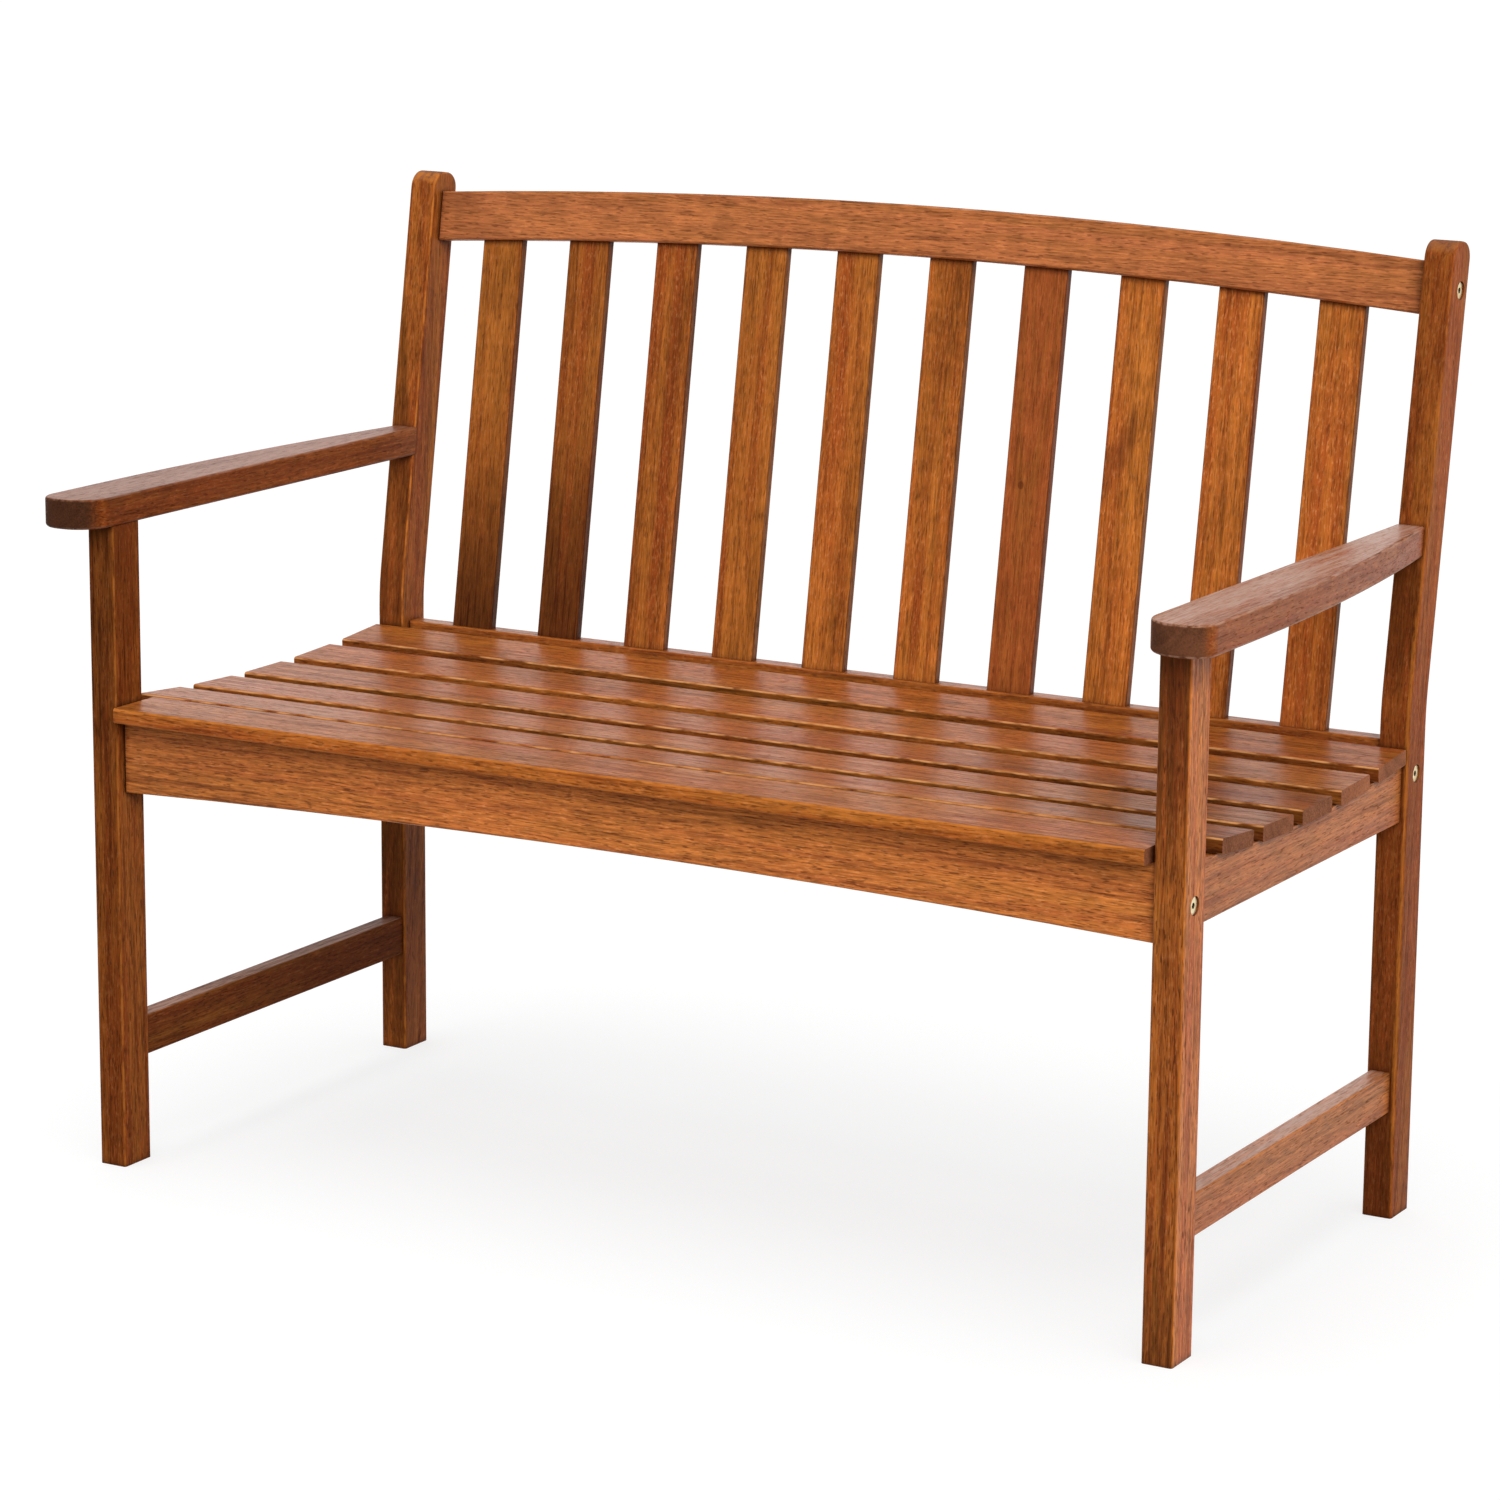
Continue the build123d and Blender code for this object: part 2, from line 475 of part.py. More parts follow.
# Bearer tenon, shared by the front apron and the lower back rail
BEARER_TENON_Z = BEARER_BOTTOM + TENON_SHOULDER + BEARER_TENON_HEIGHT / 2

# Front apron, with an arched lower edge
APRON_BOTTOM = SLAT_UNDERSIDE - APRON_HEIGHT
with BuildPart() as front_apron:
    with BuildSketch(Plane.XZ.offset(-APRON_Y)):
        with BuildLine():
            Polyline(
                (-LEG_INNER_X, APRON_BOTTOM),
                (-LEG_INNER_X, SLAT_UNDERSIDE),
                (LEG_INNER_X, SLAT_UNDERSIDE),
                (LEG_INNER_X, APRON_BOTTOM),
            )
            ThreePointArc(
                (LEG_INNER_X, APRON_BOTTOM),
                (0, APRON_BOTTOM + APRON_RISE),
                (-LEG_INNER_X, APRON_BOTTOM),
            )
        make_face()
    extrude(amount=-APRON_THICK)
    ease_rail(front_apron, Axis.Y)
    with BuildSketch(Plane.XZ.offset(-APRON_BACK_Y)):
        with Locations((0, BEARER_TENON_Z)):
            Rectangle(BEARER_TENON_THICK, BEARER_TENON_HEIGHT)
    extrude(amount=BEARER_TENON_LENGTH, mode=Mode.SUBTRACT)
    bore_rail(APRON_BOLT, APRON_DOWEL, LEVEL_BACK, APRON_THICK)
    bore_for_seat_dowels(0, seat_dowel_spots(0))
save(front_apron, "front_apron")

# Middles of the back slats along the bench
BACK_SLAT_XS = [
    (number - (BACK_SLAT_COUNT - 1) / 2) * BACK_SLAT_PITCH + BACK_SLAT_SHIFT
    for number in range(BACK_SLAT_COUNT)
]


def back_slat_outline(x):
    """Outline of a back slat up the slope, with both its ends inside the rails."""
    crest_bottom = CREST_BOTTOM_MIDDLE - CREST_ARCH_RADIUS + sqrt(CREST_ARCH_RADIUS**2 - x**2)
    top = crest_bottom + BACK_SLAT_HOUSING
    with Locations((x, (top + BACK_SLAT_FOOT) / 2)):
        Rectangle(BACK_SLAT_WIDTH, top - BACK_SLAT_FOOT)


# Lower back rail, with a housing for the foot of each back slat
LOWER_RAIL_BOTTOM = LOWER_RAIL_TOP - LOWER_RAIL_HEIGHT
with BuildPart() as lower_back_rail:
    with BuildSketch(Plane.XZ.offset(-LOWER_RAIL_Y)):
        with Locations((0, (LOWER_RAIL_TOP + LOWER_RAIL_BOTTOM) / 2)):
            Rectangle(2 * LEG_INNER_X, LOWER_RAIL_HEIGHT)
    extrude(amount=-LOWER_RAIL_THICK)
    ease_rail(lower_back_rail, Axis.Y)
    with BuildSketch(BACK_PLANE.offset(-BACK_SLAT_SETBACK)):
        for x in BACK_SLAT_XS:
            back_slat_outline(x)
    extrude(amount=-BACK_SLAT_THICK, mode=Mode.SUBTRACT)
    with BuildSketch(Plane.XZ.offset(-LOWER_RAIL_Y)):
        with Locations((0, BEARER_TENON_Z)):
            Rectangle(BEARER_TENON_THICK, BEARER_TENON_HEIGHT)
    extrude(amount=-BEARER_TENON_LENGTH, mode=Mode.SUBTRACT)
    bore_rail(LOWER_RAIL_BOLT, LOWER_RAIL_DOWEL, LEVEL_BACK, LOWER_RAIL_THICK)
save(lower_back_rail, "lower_back_rail")

# Crest rail, arched along both edges, with a housing for the head of each back slat
with BuildPart() as crest_rail:
    with BuildSketch(BACK_PLANE.offset(-CREST_SETBACK)):
        with BuildLine():
            ThreePointArc(
                (-LEG_INNER_X, CREST_TOP_END), (0, CREST_TOP_MIDDLE), (LEG_INNER_X, CREST_TOP_END)
            )
            Line((LEG_INNER_X, CREST_TOP_END), (LEG_INNER_X, CREST_BOTTOM_END))
            ThreePointArc(
                (LEG_INNER_X, CREST_BOTTOM_END), (0, CREST_BOTTOM_MIDDLE), (-LEG_INNER_X, CREST_BOTTOM_END)
            )
            Line((-LEG_INNER_X, CREST_BOTTOM_END), (-LEG_INNER_X, CREST_TOP_END))
        make_face()
    extrude(amount=-CREST_THICK)
    ease_rail(crest_rail, Axis((0, 0, 0), RAKED_BACK))
    with BuildSketch(BACK_PLANE.offset(-BACK_SLAT_SETBACK)):
        for x in BACK_SLAT_XS:
            back_slat_outline(x)
    extrude(amount=-BACK_SLAT_THICK, mode=Mode.SUBTRACT)
    bore_rail(CREST_BOLT, CREST_DOWEL, RAKED_BACK, CREST_THICK)
save(crest_rail, "crest_rail")

# Back slats
for number, x in enumerate(BACK_SLAT_XS, start=1):
    with BuildPart() as back_slat:
        with BuildSketch(BACK_PLANE.offset(-BACK_SLAT_SETBACK)):
            back_slat_outline(x)
        extrude(amount=-BACK_SLAT_THICK)
        fillet(back_slat.edges().filter_by(BACK_SLOPE), BACK_SLAT_EASE)
    save(back_slat, f"back_slat_{number:02d}")

# Bearer from the apron to the lower back rail, with the same scooped top as the side rails
FRONT_SLAT_FLAT_Y = SEAT_FRONT_Y + SEAT_SLAT_WIDTH + FLAT_MARGIN
with BuildPart() as seat_bearer:
    with BuildSketch(Plane.YZ.offset(-BEARER_THICK / 2)):
        with BuildLine():
            Polyline(
                (LOWER_RAIL_Y, BEARER_BOTTOM),
                (APRON_BACK_Y, BEARER_BOTTOM),
                (APRON_BACK_Y, SLAT_UNDERSIDE),
                (FRONT_SLAT_FLAT_Y, SLAT_UNDERSIDE),
                *scooped_top(LOWER_RAIL_Y),
                close=True,
            )
        make_face()
    extrude(amount=BEARER_THICK)
    with BuildSketch(Plane.XZ.offset(-APRON_BACK_Y + BEARER_TENON_LENGTH)):
        with Locations((0, BEARER_TENON_Z)):
            Rectangle(BEARER_TENON_THICK, BEARER_TENON_HEIGHT)
    extrude(amount=-(LOWER_RAIL_Y - APRON_BACK_Y + 2 * BEARER_TENON_LENGTH))
    for number in range(1, SEAT_SLAT_COUNT):
        bore_for_seat_dowels(number, [(0, 0)])
save(seat_bearer, "seat_bearer")

# Seat slats: the front one fits between the front legs, the others lie across the side rails
for number in range(SEAT_SLAT_COUNT):
    half_length = LEG_OUTER_X - SLAT_END_INSET
    if number == 0:
        half_length = LEG_INNER_X - FRONT_SLAT_END_GAP
    with BuildPart() as seat_slat:
        with BuildSketch(slat_plane(number)):
            Rectangle(2 * half_length, SEAT_SLAT_WIDTH)
        extrude(amount=SEAT_SLAT_THICK)
        fillet(seat_slat.edges().filter_by(Axis.X), SEAT_SLAT_EASE)
        with BuildSketch(slat_plane(number)):
            with Locations(*seat_dowel_spots(number)):
                Circle(SEAT_DOWEL_DIAMETER / 2 + PIN_CLEARANCE)
        extrude(amount=SEAT_DOWEL_IN_SLAT, mode=Mode.SUBTRACT)
    save(seat_slat, f"seat_slat_{number + 1}")

# Bolts through the legs, with flat socket heads sunk a little below the legs' faces
BOLT_LENGTH = LEG_WIDTH - COUNTERBORE_DEPTH + BOLT_REACH
bolt_seat = end_plane(LEG_OUTER_X - COUNTERBORE_DEPTH, 0, 0, 1)
bolt_spots = [(bolt.Y, bolt.Z) for bolt in BOLTS]
with BuildPart() as frame_bolts:
    with BuildSketch(bolt_seat):
        with Locations(*bolt_spots):
            Circle(BOLT_HEAD_DIAMETER / 2)
    extrude(amount=BOLT_HEAD_THICK)
    with BuildSketch(bolt_seat):
        with Locations(*bolt_spots):
            Circle(BOLT_DIAMETER / 2)
    extrude(amount=-BOLT_LENGTH)
    with BuildSketch(bolt_seat.offset(BOLT_HEAD_THICK)):
        with Locations(*bolt_spots):
            RegularPolygon(BOLT_SOCKET_FLATS / 2, 6, major_radius=False)
    extrude(amount=-BOLT_SOCKET_DEPTH, mode=Mode.SUBTRACT)
    mirror(about=Plane.YZ)
save(frame_bolts, "frame_bolts")

# Barrel nuts across the bolts
with BuildPart() as barrel_nuts:
    for bolt, nut_direction in zip(BOLTS, NUT_DIRECTIONS):
        middle = bolt - Vector(NUT_INSET, 0, 0)
        end = middle + nut_direction * (NUT_LENGTH / 2)
        with BuildSketch(Plane(origin=end, x_dir=(1, 0, 0), z_dir=nut_direction)):
            Circle(NUT_DIAMETER / 2)
        extrude(amount=-NUT_LENGTH)
        with Locations(end_plane(middle.X + NUT_DIAMETER / 2, middle.Y, middle.Z, 1)):
            Hole(radius=BOLT_DIAMETER / 2 + PIN_CLEARANCE, depth=NUT_DIAMETER)
    mirror(about=Plane.YZ)
save(barrel_nuts, "barrel_nuts")

# Dowels beside the bolts
with BuildPart() as rail_dowels:
    with BuildSketch(end_plane(LEG_INNER_X + DOWEL_LENGTH / 2, 0, 0, 1)):
        with Locations(*[(dowel.Y, dowel.Z) for dowel in DOWELS]):
            Circle(DOWEL_DIAMETER / 2)
    extrude(amount=-DOWEL_LENGTH)
    mirror(about=Plane.YZ)
save(rail_dowels, "rail_dowels")

# Dowels that pin the seat slats to the apron, the side rails and the bearer
with BuildPart() as seat_dowels:
    for number in range(SEAT_SLAT_COUNT):
        with BuildSketch(slat_plane(number).offset(SEAT_DOWEL_IN_SLAT)):
            with Locations(*seat_dowel_spots(number)):
                Circle(SEAT_DOWEL_DIAMETER / 2)
        extrude(amount=-SEAT_DOWEL_LENGTH)
save(seat_dowels, "seat_dowels")
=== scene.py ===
"""Looks of a slatted wooden garden bench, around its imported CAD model."""

import math
from collections import namedtuple
from dataclasses import dataclass, replace

import bpy
from mathutils import Matrix, Vector


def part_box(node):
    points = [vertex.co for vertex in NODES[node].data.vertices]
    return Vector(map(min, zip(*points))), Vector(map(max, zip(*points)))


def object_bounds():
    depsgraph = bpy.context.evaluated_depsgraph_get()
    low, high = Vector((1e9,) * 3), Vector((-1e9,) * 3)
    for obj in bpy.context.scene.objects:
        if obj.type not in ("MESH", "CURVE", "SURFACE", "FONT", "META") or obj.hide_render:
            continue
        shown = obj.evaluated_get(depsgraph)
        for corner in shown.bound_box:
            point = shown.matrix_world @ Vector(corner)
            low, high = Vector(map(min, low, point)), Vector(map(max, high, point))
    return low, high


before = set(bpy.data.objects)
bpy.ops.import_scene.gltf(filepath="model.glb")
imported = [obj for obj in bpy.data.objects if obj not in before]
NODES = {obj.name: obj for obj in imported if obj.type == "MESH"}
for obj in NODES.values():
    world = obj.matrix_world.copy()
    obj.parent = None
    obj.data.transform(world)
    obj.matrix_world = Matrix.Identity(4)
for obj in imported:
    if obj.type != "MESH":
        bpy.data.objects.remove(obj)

CAD_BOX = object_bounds()

# Camera, at the photograph's viewing angle, in metres, degrees and millimetres
CAMERA_PLACE = (2.1426, -3.7659, 1.3671)
CAMERA_TURN = (77.531, -0.465, 29.827)
CAMERA_LENS = 117.31
CAMERA_SENSOR = 36.0
CAMERA_REACH = 200.0

# Rake of the back, and the middle of it for the bent rear legs
BACK_RAKE = math.radians(9.0)
LEG_RAKE = math.radians(4.5)

# Stain tones of the wood, from golden sapwood to dark heartwood
GOLD = (0.50, 0.158, 0.026)
RUST = (0.285, 0.064, 0.0125)
PALE = (0.45, 0.158, 0.062)
# Pale tops: sun-bleached wood, and painted sheen standing in for the tops' glancing reflection
BLEACHED_AND_SHEEN = (0.46, 0.27, 0.20)
FLECK = (0.62, 0.25, 0.085)
KNOT = (0.150, 0.036, 0.010)
# DARK is also the colour of painted shade: in corners, on the back slats' edges and under the arms
DARK = (0.060, 0.0135, 0.0040)
END_GRAIN = (0.235, 0.085, 0.040)

# Tones of the edges, where the varnish has worn off; the worn and bare tones also paint highlights
# along the rounded edges
WORN_AND_LIT_EDGE = (0.56, 0.180, 0.030)
BARE_AND_LIT_EDGE = (0.66, 0.30, 0.11)
CHIPPED_EDGE = (0.44, 0.23, 0.15)

# Metal of the bolts and nuts, its dull spots, and painted shade in the bolts' sockets
BRASS = (0.88, 0.76, 0.48)
DULL_BRASS = (0.70, 0.54, 0.28)
BRASS_ROUGHNESS = 0.28
ZINC = (0.62, 0.62, 0.60)
DULL_ZINC = (0.42, 0.42, 0.40)
ZINC_ROUGHNESS = 0.35
SPOT_ROUGHNESS = 0.18
SOCKET_SHADE = (0.035, 0.022, 0.012)
SOCKET_SHADE_DEPTH = 0.0009

# Textures of the grain, with their repeats per metre along, across and through the board
Texture = namedtuple("Texture", "repeats detail roughness", defaults=(2.0, 0.5))
RIBBONS = Texture((1.8, 62.0, 62.0))
STREAKS = Texture((9.0, 220.0, 220.0), detail=4.0, roughness=0.6)
FIBRES = Texture((48.0, 680.0, 680.0))
FLECKS = Texture((170.0, 430.0, 430.0), roughness=0.6)
PORES = Texture((95.0, 760.0, 760.0), detail=1.0)
BLOTCHES = Texture((4.5, 28.0, 28.0))
MOTTLES = Texture((60.0, 26.0, 26.0))
EDGE_NOISE = Texture((45.0, 160.0, 160.0), detail=3.0)
WANDER = Texture((2.6, 7.0, 7.0), detail=1.0)
WANDER_REACH = 0.007
NOISE_MIDDLE = (0.5, 0.5, 0.5)
LAYER_DETAIL = 3.0
LAYER_ROUGHNESS = 0.6

# Textures of the metal, in repeats per metre along the bench, its depth and its height
SPOTS = Texture((260.0, 260.0, 260.0), detail=3.0)
MARKS = Texture((2500.0, 900.0, 900.0))

# How far apart two seeds lie in the textures and in the growth layers
SEED_STEP = (3.7, 1.9, 2.3)
LAYER_SEED_STEP = 5.3

# Places of the pith that the seeds share out: the first one, the step and the count
PITH_ACROSS = (0.015, 0.012, 5)
PITH_THROUGH = (0.012, 0.009, 4)

# A noise's usual range, and the swing about zero that it is spread to
NOISE_RANGE = (0.25, 0.75)
SWING_RANGE = (-0.5, 0.5)

# Values of a noise, of the way a face looks or of open air, where a feature starts and is full
PORE_RANGE = (0.57, 0.68)
FLECK_RANGE = (0.48, 0.75)
DARK_STREAK_RANGE = (0.02, 0.5)
EDGE_NOISE_RANGE = (0.35, 0.62)
SPOT_RANGE = (0.4, 0.7)
PATCH_RANGE = (1.0, 0.1)
MAIN_FACE_RANGE = (0.6, 0.9)
NARROW_FACE_RANGE = (0.6, 0.8)
END_FACE_RANGE = (0.30, 0.75)
UP_FACE_RANGE = (0.80, 0.97)
EDGE_RANGE = (0.985, 0.86)
CORNER_RANGE = (0.90, 0.50)

# How far the grain turns the stain from golden to rust
LAYER_WARMTH = 0.40
RIBBON_WARMTH = 0.55
BLOTCH_WARMTH = 0.55
STREAK_WARMTH = 0.45

# How far the grain makes the wood lighter and darker
FIBRE_SHADE = 0.54
LAYER_SHADE = 0.25
BLOTCH_SHADE = 0.36
STREAK_DARKNESS = 0.36
PORE_DARKNESS = 0.52

# How far the grain frays the outline of a dark end, of a patch and of bleached tops with painted sheen
END_RIBBONS = 0.12
END_STREAKS = 0.05
PATCH_LAYERS = 0.7
PATCH_RIBBONS = 0.5
PATCH_STREAKS = 0.5
BLEACH_AND_SHEEN_BLOTCHES = 1.6
BLEACH_AND_SHEEN_STREAKS = 2.6
BLEACH_AND_SHEEN_FIBRES = 1.6

# Painted shade where pieces meet and in tight corners, with some stain and dirt gathered there too
CORNER_REACH = 0.007
CORNER_SAMPLES = 4
CORNER_SHADE_AND_DIRT = 0.85

# Varnish: facing reflections take the stain's colour, glancing ones stay white
VARNISH_TINT = (0.50, 0.20, 0.10)
PORE_ROUGHNESS = 0.18
STREAK_ROUGHNESS = 0.12
END_ROUGHNESS = 0.30

# Relief of the surfaces
PORE_HEIGHT = -1.0
FIBRE_HEIGHT = 0.5
GRAIN_RELIEF = 0.30
GRAIN_DEPTH = 0.0004
MARK_RELIEF = 0.2
MARK_DEPTH = 0.0001

# Floor and light
FLOOR_REACH = 40.0
FLOOR_COLOUR = (0.45, 0.45, 0.45)
FLOOR_SEEN_COLOUR = (0.28, 0.28, 0.28)
FLOOR_SEEN_LIFT = 0.77
WHITE = (1.0, 1.0, 1.0)
WORLD_LIGHT = 0.36
WORLD_SEEN = 1.0
KEY_AIM = (-0.56, 0.60, -0.57)
KEY_POWER = 2.9
KEY_SPREAD = math.radians(40.0)
FILL_AIM = (0.50, -0.70, -0.50)
FILL_POWER = 0.4
FILL_SPREAD = math.radians(60.0)
OVERHEAD_AIM = (-0.05, 0.20, -1.0)
OVERHEAD_POWER = 1.8
OVERHEAD_SPREAD = math.radians(50.0)


class Graph:
    """The node tree of a material or world, with short calls that add a node and give its output."""

    def __init__(self, owner):
        self.owner = owner
        self.owner.use_nodes = True
        self.tree = owner.node_tree
        self.tree.nodes.clear()

    def add(self, kind, inputs, out=0, **settings):
        node = self.tree.nodes.new(kind)
        for key, value in settings.items():
            setattr(node, key, value)
        for key, value in inputs.items():
            if isinstance(value, bpy.types.NodeSocket):
                self.tree.links.new(value, node.inputs[key])
            else:
                node.inputs[key].default_value = value
        return node.outputs[out]

    def math(self, operation, a, b=0.0, clamp=False):
        return self.add("ShaderNodeMath", {0: a, 1: b}, operation=operation, use_clamp=clamp)

    def vector(self, operation, a, b):
        return self.add("ShaderNodeVectorMath", {0: a, 1: b}, operation=operation)

    def split(self, vector):
        node = self.tree.nodes.new("ShaderNodeSeparateXYZ")
        self.tree.links.new(vector, node.inputs[0])
        return node.outputs

    def noise(self, place, texture, out="Fac"):
        stretched = self.vector("MULTIPLY", place, texture.repeats)
        inputs = {"Vector": stretched, "Scale": 1.0}
        inputs.update({"Detail": texture.detail, "Roughness": texture.roughness})
        return self.add("ShaderNodeTexNoise", inputs, out)

    def spread(self, value, reach, to_low=0.0, to_high=1.0):
        """value taken smoothly from the range reach to the range to_low..to_high."""
        inputs = {"Value": value, "From Min": reach[0], "From Max": reach[1]}
        inputs.update({"To Min": to_low, "To Max": to_high})
        return self.add("ShaderNodeMapRange", inputs, interpolation_type="SMOOTHSTEP")

    def swing(self, noise):
        """A noise as a swing about zero."""
        return self.spread(noise, NOISE_RANGE, *SWING_RANGE)

    def mix(self, factor, a, b, blend="MIX"):
        inputs = {0: factor, 6: a, 7: b}
        return self.add("ShaderNodeMix", inputs, 2, data_type="RGBA", blend_type=blend)

    def shade(self, colour, value):
        """The colour made lighter or darker by a value."""
        grey = self.add("ShaderNodeCombineXYZ", {0: value, 1: value, 2: value})
        return self.mix(1.0, colour, grey, "MULTIPLY")

    def total(self, start, *terms, clamp=True):
        """start plus each (value, weight) term."""
        result = start
        for value, weight in terms:
            node = self.math("MULTIPLY_ADD", value, weight).node
            if isinstance(result, bpy.types.NodeSocket):
                self.tree.links.new(result, node.inputs[2])
            else:
                node.inputs[2].default_value = result
            result = node.outputs[0]
        result.node.use_clamp = clamp
        return result

    def seen(self):
        """1 for what the camera sees, also in reflections and through glass, and 0 for other light."""
        path = self.tree.nodes.new("ShaderNodeLightPath").outputs
        shown = self.math("MAXIMUM", path["Is Camera Ray"], path["Is Glossy Ray"])
        return self.math("MAXIMUM", shown, path["Is Transmission Ray"])

    def finish(self, shader, kind="ShaderNodeOutputMaterial"):
        output = self.tree.nodes.new(kind)
        self.tree.links.new(shader, output.inputs["Surface"])
        return self.owner


def rgba(colour, brightness=1.0):
    """A shader colour from three linear values, all made brighter or darker."""
    return (*(brightness * c for c in colour), 1.0)


# A patch of colour on a board's main faces, for stains and figure, and on some legs for painted shade:
# its middle along and across, its half sizes and its slant
Patch = namedtuple("Patch", "colour along across length width strength slope", defaults=(0.0,))

# A darkening that grows from start to end along the grain
DarkEnd = namedtuple("DarkEnd", "start end strength")


@dataclass
class Look:
    """How one piece of solid wood looks."""

    board: Matrix  # turns the board's own axes into the frame's
    seed: int  # gives the board its own grain
    tone: float  # from golden, 0, to rust, 1
    brightness: float = 1.0
    pale: float = 0.0  # towards a dusty tone
    contrast: float = 1.0  # of the fine grain
    figure: float = 1.0  # of the broad grain
    rings: float = 1.0  # of the growth layers
    flecks: float = 0.28  # of the pale specks
    mottle: float = 0.12  # of the shimmer across the grain
    ring: float = 0.009  # thickness of a growth layer
    pith: tuple = None  # where the log's middle is, across and through the board
    lean: tuple = (0.0, 0.0)  # how far the pith runs out for each metre along the board
    roughness: float = 0.40
    ior: float = 1.44  # the varnish's gloss
    bleach_and_sheen: float = 0.0  # bleaching by the sun and painted sheen, on the faces that look up
    # edge_wear_and_light: worn edges, also painted highlights, and painted shade on rounded edges
    # where the edge colour is dark
    edge_wear_and_light: float = 0.4
    edge_colour: tuple = WORN_AND_LIT_EDGE
    end_tone: float = 1.0  # brightness of the end grain
    side_tone: float = 1.0  # brightness of the narrow faces: painted light and shade, and the stain's own tone there
    round_ends: bool = False  # ends that are rounded in plan
    dark_end: DarkEnd = None
    patches: tuple = ()


class Grain:
    """A board's places, faces and grain, as outputs of its material's nodes."""

    def __init__(self, graph, look, middle):
        coords = graph.add("ShaderNodeTexCoord", {}, "Object")
        inputs = {"Vector": coords, "Location": middle, "Rotation": look.board.to_euler()}
        here = graph.add("ShaderNodeMapping", inputs, vector_type="TEXTURE")
        self.along, self.across, self.through = graph.split(here)
        self.seeded = graph.vector("ADD", here, tuple(look.seed * step for step in SEED_STEP))

        self.normal = graph.add("ShaderNodeNewGeometry", {}, "Normal")
        inputs = {"Vector": self.normal, "Rotation": look.board.transposed().to_euler()}
        facing = graph.add("ShaderNodeMapping", inputs, vector_type="VECTOR")
        facing = graph.add("ShaderNodeVectorMath", {0: facing}, operation="ABSOLUTE")
        self.facing_end, self.facing_side, self.facing_flat = graph.split(facing)
        self.end = graph.spread(self.facing_end, END_FACE_RANGE)

        wander = graph.noise(self.seeded, WANDER, out="Color")
        wander = graph.vector("SUBTRACT", wander, NOISE_MIDDLE)
        wander = graph.vector("MULTIPLY", wander, (0.0, WANDER_REACH, WANDER_REACH))
        bent = graph.vector("ADD", self.seeded, wander)
        self.layers = self.growth_layers(graph, look, wander)
        self.ribbons = graph.swing(graph.noise(bent, RIBBONS))
        self.streaks = graph.swing(graph.noise(bent, STREAKS))
        self.fibres = graph.swing(graph.noise(bent, FIBRES))
        self.blotches = graph.swing(graph.noise(self.seeded, BLOTCHES))
        self.mottles = graph.swing(graph.noise(bent, MOTTLES))
        self.pores = graph.spread(graph.noise(bent, PORES), PORE_RANGE)
        self.shade = graph.total(1.0, (self.fibres, FIBRE_SHADE * look.contrast),
                                 (self.mottles, look.mottle),
                                 (self.layers, LAYER_SHADE * look.rings),
                                 (self.blotches, BLOTCH_SHADE * look.figure), clamp=False)

    def growth_layers(self, graph, look, wander):
        """The log's layers round its pith, as the board cuts through them."""
        places = (PITH_ACROSS, PITH_THROUGH)
        pith = look.pith or tuple(start + step * (look.seed % count) for start, step, count in places)
        across = graph.total(-pith[0], (self.across, 1.0), (self.along, look.lean[0]), clamp=False)
        through = graph.total(-pith[1], (self.through, 1.0), (self.along, look.lean[1]), clamp=False)
        off_pith = graph.add("ShaderNodeCombineXYZ", {1: across, 2: through})
        off_pith = graph.vector("ADD", off_pith, wander)
        radius = graph.add("ShaderNodeVectorMath", {0: off_pith}, "Value", operation="LENGTH")
        place = graph.total(look.seed * LAYER_SEED_STEP, (radius, 1.0 / look.ring), clamp=False)
        inputs = {"W": place, "Scale": 1.0, "Detail": LAYER_DETAIL, "Roughness": LAYER_ROUGHNESS}
        return graph.swing(graph.add("ShaderNodeTexNoise", inputs, "Fac", noise_dimensions="1D"))


def stain_and_dark_end(graph, look, grain):
    """The wood's stain, with its flecks and dark streaks, and its dark end, which on the seat slats
    and the left front leg is painted shade.
    """
    warmth = graph.total(look.tone, (grain.layers, LAYER_WARMTH * look.rings),
                         (grain.ribbons, RIBBON_WARMTH * look.figure),
                         (grain.blotches, BLOTCH_WARMTH * look.figure),
                         (grain.streaks, STREAK_WARMTH * look.contrast))
    colour = graph.mix(warmth, rgba(GOLD, look.brightness), rgba(RUST, look.brightness))
    if look.pale:
        colour = graph.mix(look.pale, colour, rgba(PALE, look.brightness))
    specks = graph.spread(graph.noise(grain.seeded, FLECKS), FLECK_RANGE, 0.0, look.flecks)
    colour = graph.mix(specks, colour, rgba(FLECK, look.brightness))

    depth = graph.spread(grain.streaks, DARK_STREAK_RANGE, 0.0, STREAK_DARKNESS * look.contrast)
    if look.dark_end:
        start, end, strength = look.dark_end
        ragged = graph.total(0.0, (grain.along, 1.0), (grain.ribbons, END_RIBBONS),
                             (grain.streaks, END_STREAKS), clamp=False)
        darkening = graph.spread(ragged, (start, end), 0.0, strength)
        depth = graph.math("ADD", depth, darkening, clamp=True)
    return graph.mix(depth, colour, rgba(DARK, look.brightness))


